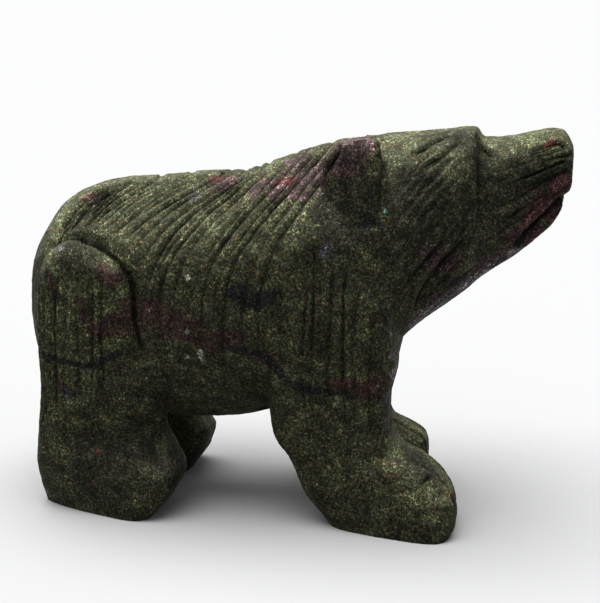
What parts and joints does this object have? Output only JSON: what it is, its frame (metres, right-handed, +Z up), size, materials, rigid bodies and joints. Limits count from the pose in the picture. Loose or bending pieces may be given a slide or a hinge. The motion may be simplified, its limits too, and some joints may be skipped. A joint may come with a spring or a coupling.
{
  "type": "stone bear carving",
  "caption": "Small carved stone bear that stands on its feet with its muzzle raised, its coat cut in long fine grooves; an ornament for a shelf or desk.",
  "frame": {"origin": "middle of the bear's plan, on the ground under its soles", "axes": "+X along the body toward the muzzle, +Y to the bear's left side, +Z up"},
  "size_m": [0.0522, 0.0218, 0.0373],
  "materials": {
    "stone": "dark olive green stone with red and purple spots, smoothed but not polished"
  },
  "bodies": {
    "root": {"bear": "stone"}
  },
  "joints": []
}
